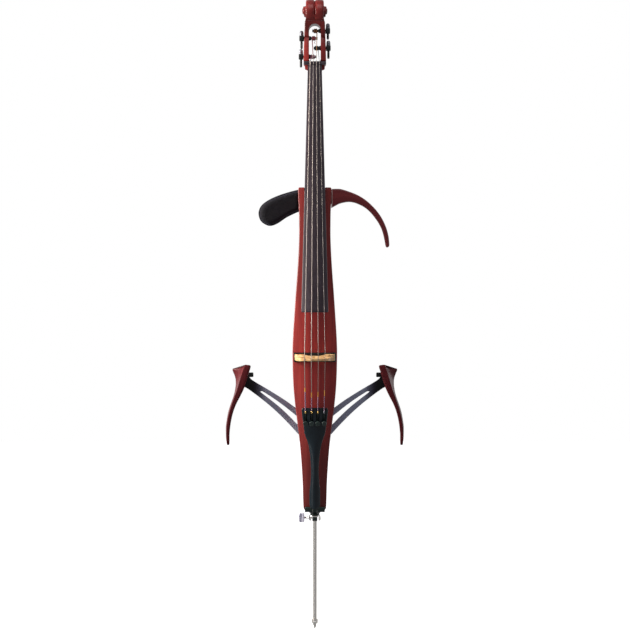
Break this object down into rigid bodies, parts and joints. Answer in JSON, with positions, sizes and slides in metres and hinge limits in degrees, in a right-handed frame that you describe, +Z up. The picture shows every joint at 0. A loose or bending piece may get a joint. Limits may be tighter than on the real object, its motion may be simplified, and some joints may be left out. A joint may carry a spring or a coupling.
{
  "type": "electric cello",
  "caption": "Slim stained-wood electric cello with slotted pegbox, half shoulder frame, padded chest rest, folding knee supports and sliding endpin.",
  "frame": {"origin": "point of the endpin spike, where the instrument meets the floor", "axes": "+Z up along the endpin towards the scroll, -Y out of the playing side, +X towards the highest string"},
  "size_m": [0.4198, 0.1694, 1.4855],
  "materials": {
    "red_wood": "clear gloss lacquer over red stain",
    "dark_red_wood": "clear gloss lacquer over dark red stain",
    "ebony": "oiled ebony",
    "maple": "plain oiled maple",
    "black_plastic": "satin black",
    "nylon_cord": "smooth nylon",
    "chrome": "polished",
    "dark_steel": "satin dark grey",
    "string_steel": "flat wound",
    "pale_plastic": "smooth",
    "black_fabric": "stretched knit over foam",
    "board_laminate": "solder mask"
  },
  "bodies": {
    "body": {"body_shell": "red_wood", "back_cover": "black_plastic", "circuit_board": "board_laminate", "battery": "black_plastic", "output_jack": "chrome", "phones_jack": "chrome", "neck_and_scroll": "dark_red_wood", "fingerboard": "ebony", "nut": "ebony", "bridge_bed": "black_plastic", "bridge_pickup": "black_plastic", "bridge": "maple", "tailpiece": "black_plastic", "tail_cord": "nylon_cord", "saddle": "ebony", "endpin_plug": "ebony", "endpin_collar": "chrome", "chest_pad_pin": "chrome", "arm_bolt_left": "black_plastic", "arm_bolt_right": "black_plastic", "tuner_housing_c": "black_plastic", "tuner_housing_g": "black_plastic", "tuner_housing_d": "black_plastic", "tuner_housing_a": "black_plastic", "string_c": "string_steel", "string_g": "string_steel", "string_d": "string_steel", "string_a": "string_steel"},
    "key_c": {"tuner_key_c": "black_plastic"},
    "post_c": {"tuner_post_c": "dark_steel"},
    "key_g": {"tuner_key_g": "black_plastic"},
    "post_g": {"tuner_post_g": "dark_steel"},
    "key_d": {"tuner_key_d": "black_plastic"},
    "post_d": {"tuner_post_d": "dark_steel"},
    "key_a": {"tuner_key_a": "black_plastic"},
    "post_a": {"tuner_post_a": "dark_steel"},
    "screw_c": {"fine_screw_c": "black_plastic"},
    "lever_c": {"fine_lever_c": "black_plastic"},
    "screw_g": {"fine_screw_g": "black_plastic"},
    "lever_g": {"fine_lever_g": "black_plastic"},
    "screw_d": {"fine_screw_d": "black_plastic"},
    "lever_d": {"fine_lever_d": "black_plastic"},
    "screw_a": {"fine_screw_a": "black_plastic"},
    "lever_a": {"fine_lever_a": "black_plastic"},
    "endpin": {"endpin_rod": "chrome", "endpin_tip": "chrome"},
    "clamp_screw": {"endpin_screw": "chrome", "endpin_screw_knob": "pale_plastic"},
    "chest_rest": {"chest_pad": "black_fabric", "chest_pad_plate": "dark_steel"},
    "half_frame": {"shoulder_frame": "dark_red_wood"},
    "frame_screw": {"frame_knob": "black_plastic"},
    "arm_left": {"knee_arm_left": "dark_steel", "blade_bolt_left": "black_plastic"},
    "blade_left": {"knee_blade_left": "dark_red_wood"},
    "arm_right": {"knee_arm_right": "dark_steel", "blade_bolt_right": "black_plastic"},
    "blade_right": {"knee_blade_right": "dark_red_wood"},
    "volume": {"volume_knob": "black_plastic"},
    "battery_lid": {"battery_door": "black_plastic"}
  },
  "joints": [
    {"name": "key_turn_c", "type": "hinge", "parent": "body", "child": "key_c", "pos_m": [-0.03262, -0.0005, 1.3506], "axis": [0, 0, 1], "continuous": true},
    {"name": "post_turn_c", "type": "hinge", "parent": "body", "child": "post_c", "pos_m": [0, -0.007, 1.3506], "axis": [1, 0, 0], "continuous": true},
    {"name": "key_turn_g", "type": "hinge", "parent": "body", "child": "key_g", "pos_m": [-0.03131, -0.0005, 1.394], "axis": [0, 0, 1], "continuous": true},
    {"name": "post_turn_g", "type": "hinge", "parent": "body", "child": "post_g", "pos_m": [0, -0.007, 1.394], "axis": [1, 0, 0], "continuous": true},
    {"name": "key_turn_d", "type": "hinge", "parent": "body", "child": "key_d", "pos_m": [0.03078, -0.0005, 1.4115], "axis": [0, 0, 1], "continuous": true},
    {"name": "post_turn_d", "type": "hinge", "parent": "body", "child": "post_d", "pos_m": [0, -0.007, 1.4115], "axis": [1, 0, 0], "continuous": true},
    {"name": "key_turn_a", "type": "hinge", "parent": "body", "child": "key_a", "pos_m": [0.032, -0.0005, 1.371], "axis": [0, 0, 1], "continuous": true},
    {"name": "post_turn_a", "type": "hinge", "parent": "body", "child": "post_a", "pos_m": [0, -0.007, 1.371], "axis": [1, 0, 0], "continuous": true},
    {"name": "fine_screw_turn_c", "type": "hinge", "parent": "body", "child": "screw_c", "pos_m": [-0.0217, -0.08003, 0.49033], "axis": [0, -0.9918, -0.1276], "range_deg": [0, 1080]},
    {"name": "fine_lever_tilt_c", "type": "hinge", "parent": "body", "child": "lever_c", "pos_m": [-0.0217, -0.07814, 0.51175], "axis": [1, 0, 0], "range_deg": [0, 3]},
    {"name": "fine_screw_turn_g", "type": "hinge", "parent": "body", "child": "screw_g", "pos_m": [-0.0074, -0.08003, 0.49033], "axis": [0, -0.9918, -0.1276], "range_deg": [0, 1080]},
    {"name": "fine_lever_tilt_g", "type": "hinge", "parent": "body", "child": "lever_g", "pos_m": [-0.0074, -0.07814, 0.51175], "axis": [1, 0, 0], "range_deg": [0, 3]},
    {"name": "fine_screw_turn_d", "type": "hinge", "parent": "body", "child": "screw_d", "pos_m": [0.007, -0.08003, 0.49033], "axis": [0, -0.9918, -0.1276], "range_deg": [0, 1080]},
    {"name": "fine_lever_tilt_d", "type": "hinge", "parent": "body", "child": "lever_d", "pos_m": [0.007, -0.07814, 0.51175], "axis": [1, 0, 0], "range_deg": [0, 3]},
    {"name": "fine_screw_turn_a", "type": "hinge", "parent": "body", "child": "screw_a", "pos_m": [0.0217, -0.08003, 0.49033], "axis": [0, -0.9918, -0.1276], "range_deg": [0, 1080]},
    {"name": "fine_lever_tilt_a", "type": "hinge", "parent": "body", "child": "lever_a", "pos_m": [0.0217, -0.07814, 0.51175], "axis": [1, 0, 0], "range_deg": [0, 3]},
    {"name": "endpin_slide", "type": "slide", "parent": "body", "child": "endpin", "axis": [0, 0, 1], "range_m": [0, 0.228]},
    {"name": "clamp_screw_turn", "type": "hinge", "parent": "body", "child": "clamp_screw", "pos_m": [-0.015, 0, 0.264], "axis": [-1, 0, 0], "range_deg": [0, 720]},
    {"name": "chest_rest_fold", "type": "hinge", "parent": "body", "child": "chest_rest", "pos_m": [-0.018, 0.03, 1.011], "axis": [0, -1, 0], "range_deg": [0, 85]},
    {"name": "half_frame_pull", "type": "slide", "parent": "body", "child": "half_frame", "axis": [1, 0, 0], "range_m": [0, 0.045]},
    {"name": "frame_screw_turn", "type": "hinge", "parent": "body", "child": "frame_screw", "pos_m": [0.028, 0.03, 1.017], "axis": [0, 1, 0], "range_deg": [0, 720]},
    {"name": "knee_arm_fold_left", "type": "hinge", "parent": "body", "child": "arm_left", "pos_m": [-0.024, 0.03, 0.482], "axis": [0, 1, 0], "range_deg": [0, 27]},
    {"name": "knee_blade_tilt_left", "type": "hinge", "parent": "arm_left", "child": "blade_left", "pos_m": [-0.172, 0.02, 0.588], "axis": [0, 1, 0], "range_deg": [-15, 15]},
    {"name": "knee_arm_fold_right", "type": "hinge", "parent": "body", "child": "arm_right", "pos_m": [0.024, 0.03, 0.482], "axis": [0, -1, 0], "range_deg": [0, 27]},
    {"name": "knee_blade_tilt_right", "type": "hinge", "parent": "arm_right", "child": "blade_right", "pos_m": [0.172, 0.02, 0.588], "axis": [0, -1, 0], "range_deg": [-15, 15]},
    {"name": "volume_turn", "type": "hinge", "parent": "body", "child": "volume", "pos_m": [0, 0.03, 0.7], "axis": [0, 1, 0], "range_deg": [0, 300]},
    {"name": "battery_lid_open", "type": "hinge", "parent": "body", "child": "battery_lid", "pos_m": [0, 0.028, 0.7403], "axis": [-1, 0, 0], "range_deg": [0, 95]}
  ],
  "couplings": [
    {"joint": "post_turn_c", "follows": "key_turn_c", "ratio": -0.0625},
    {"joint": "post_turn_g", "follows": "key_turn_g", "ratio": -0.0625},
    {"joint": "post_turn_d", "follows": "key_turn_d", "ratio": 0.0625},
    {"joint": "post_turn_a", "follows": "key_turn_a", "ratio": 0.0625},
    {"joint": "fine_lever_tilt_c", "follows": "fine_screw_turn_c", "ratio": 0.0027778},
    {"joint": "fine_lever_tilt_g", "follows": "fine_screw_turn_g", "ratio": 0.0027778},
    {"joint": "fine_lever_tilt_d", "follows": "fine_screw_turn_d", "ratio": 0.0027778},
    {"joint": "fine_lever_tilt_a", "follows": "fine_screw_turn_a", "ratio": 0.0027778}
  ]
}
